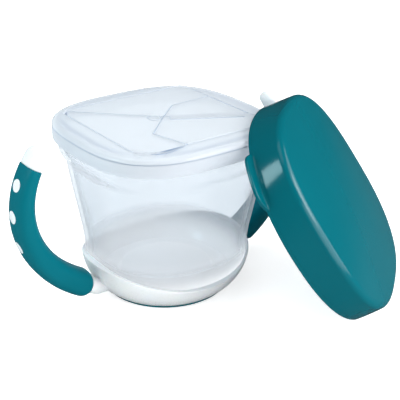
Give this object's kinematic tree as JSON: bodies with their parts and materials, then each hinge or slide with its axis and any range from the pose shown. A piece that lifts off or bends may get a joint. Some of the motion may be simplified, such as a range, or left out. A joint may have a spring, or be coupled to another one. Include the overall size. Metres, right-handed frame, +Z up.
{
  "type": "toddler snack cup",
  "caption": "Clear rounded-square snack cup in a two-handled ring, with a soft slit-flap lid and a domed overcap leaning on it.",
  "frame": {"origin": "On the table, under the middle of the cup: the centre of the non-slip base's sole", "axes": "+Z up, the handles along +X and -X, the lid's left flap towards -X, the overcap leaning at the front right (+X, -Y)"},
  "size_m": [0.1792, 0.1517, 0.0938],
  "materials": {
    "clear_plastic": "clear moulded plastic, polished",
    "white_plastic": "satin white moulding",
    "soft_teal": "smooth soft-touch rubber",
    "soft_clear": "frosted translucent soft plastic",
    "gloss_teal": "polished opaque moulding"
  },
  "bodies": {
    "base_body": {"cup": "clear_plastic", "handle_ring": "white_plastic", "grip_left": "soft_teal", "grip_right": "soft_teal", "non_slip_base": "soft_teal"},
    "lid": {"lid_frame": "soft_clear"},
    "flap_left": {"flap_left": "soft_clear"},
    "flap_back": {"flap_back": "soft_clear"},
    "flap_front": {"flap_front": "soft_clear"},
    "flap_right": {"flap_right": "soft_clear"},
    "overcap": {"overcap": "gloss_teal"}
  },
  "joints": [
    {"name": "lid_lift", "type": "slide", "parent": "base_body", "child": "lid", "axis": [0, 0, 1], "range_m": [0, 0.05]},
    {"name": "flap_left_hinge", "type": "hinge", "parent": "lid", "child": "flap_left", "pos_m": [-0.03455, 0, 0.0838], "axis": [0, -1, 0], "range_deg": [-45, 30], "stiffness_Nm_per_rad": 0.02},
    {"name": "flap_back_hinge", "type": "hinge", "parent": "lid", "child": "flap_back", "pos_m": [0, 0.03455, 0.0838], "axis": [-1, 0, 0], "range_deg": [-45, 30], "stiffness_Nm_per_rad": 0.02},
    {"name": "flap_front_hinge", "type": "hinge", "parent": "lid", "child": "flap_front", "pos_m": [0, -0.03455, 0.0838], "axis": [1, 0, 0], "range_deg": [-45, 12], "stiffness_Nm_per_rad": 0.02},
    {"name": "flap_right_hinge", "type": "hinge", "parent": "lid", "child": "flap_right", "pos_m": [0.03455, 0, 0.0838], "axis": [0, 1, 0], "range_deg": [-45, 30], "stiffness_Nm_per_rad": 0.02},
    {"name": "overcap_lift", "type": "slide", "parent": "lid", "child": "overcap", "axis": [0.5148, -0.6543, 0.554], "range_m": [0, 0.08]}
  ]
}
